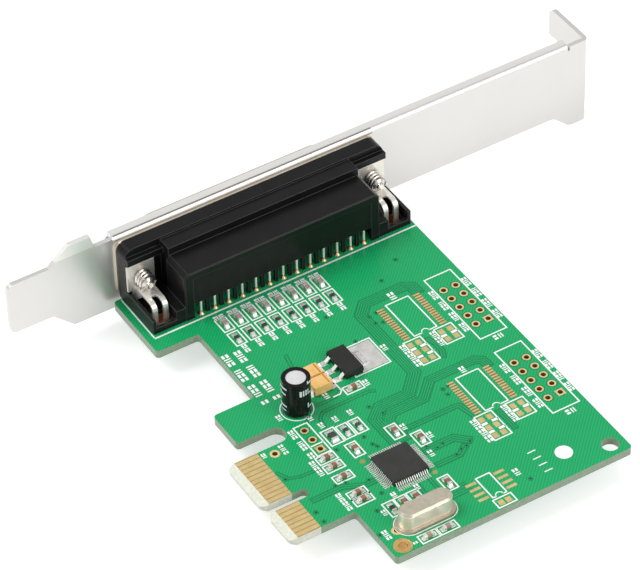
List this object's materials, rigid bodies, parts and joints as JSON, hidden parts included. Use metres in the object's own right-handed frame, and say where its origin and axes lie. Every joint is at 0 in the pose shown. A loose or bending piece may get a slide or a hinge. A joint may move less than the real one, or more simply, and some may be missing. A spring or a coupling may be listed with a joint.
{
  "type": "parallel port card",
  "caption": "Printer port expansion card: green board with slot contacts, right-angle port connector, small parts and a folded steel mounting bracket.",
  "frame": {"origin": "on the component face, on the centre line of the key slot, at the board edge that goes into the slot", "axes": "+X along the board away from the bracket, +Y from the slot edge towards the bracket's fixing tab, +Z out of the component face"},
  "size_m": [0.0908, 0.1201, 0.0216],
  "materials": {
    "green_board": "green solder mask, semi gloss",
    "gold_plating": "gold plated",
    "bright_steel": "nickel plated, smooth",
    "tin_plate": "tin plated",
    "black_insert": "moulded, matt",
    "black_housing": "moulded, satin",
    "contact_metal": "plated strip",
    "lock_steel": "tin plated",
    "screw_steel": "nickel plated",
    "can_aluminium": "drawn, plain",
    "black_sleeve": "shrunk film",
    "bung_rubber": "moulded",
    "tinned_wire": "tinned",
    "crystal_steel": "drawn, bright",
    "chip_plastic": "moulded, matt",
    "yellow_plastic": "moulded, matt",
    "grey_ceramic": "fired ceramic",
    "brown_ceramic": "fired ceramic",
    "resistor_glaze": "black glaze",
    "tinned_caps": "tinned"
  },
  "bodies": {
    "root": {"circuit_board": "green_board", "edge_contacts": "gold_plating", "mounting_bracket": "bright_steel", "front_shell": "tin_plate", "face_insert": "black_insert", "connector_housing": "black_housing", "upper_contacts": "contact_metal", "lower_contacts": "contact_metal", "board_locks": "lock_steel", "jackscrews": "screw_steel", "capacitor_can": "can_aluminium", "capacitor_sleeve": "black_sleeve", "capacitor_bung": "bung_rubber", "capacitor_leads": "tinned_wire", "crystal_can": "crystal_steel", "crystal_base": "crystal_steel", "crystal_leads": "tinned_wire", "controller_chip": "chip_plastic", "controller_leads": "tinned_wire", "regulator_body": "chip_plastic", "regulator_leads": "tinned_wire", "tantalum_capacitors": "yellow_plastic", "tantalum_terminals": "tinned_wire", "grey_capacitors": "grey_ceramic", "brown_capacitors": "brown_ceramic", "resistors": "resistor_glaze", "capacitor_terminals": "tinned_caps", "resistor_terminals": "tinned_caps"}
  },
  "joints": []
}
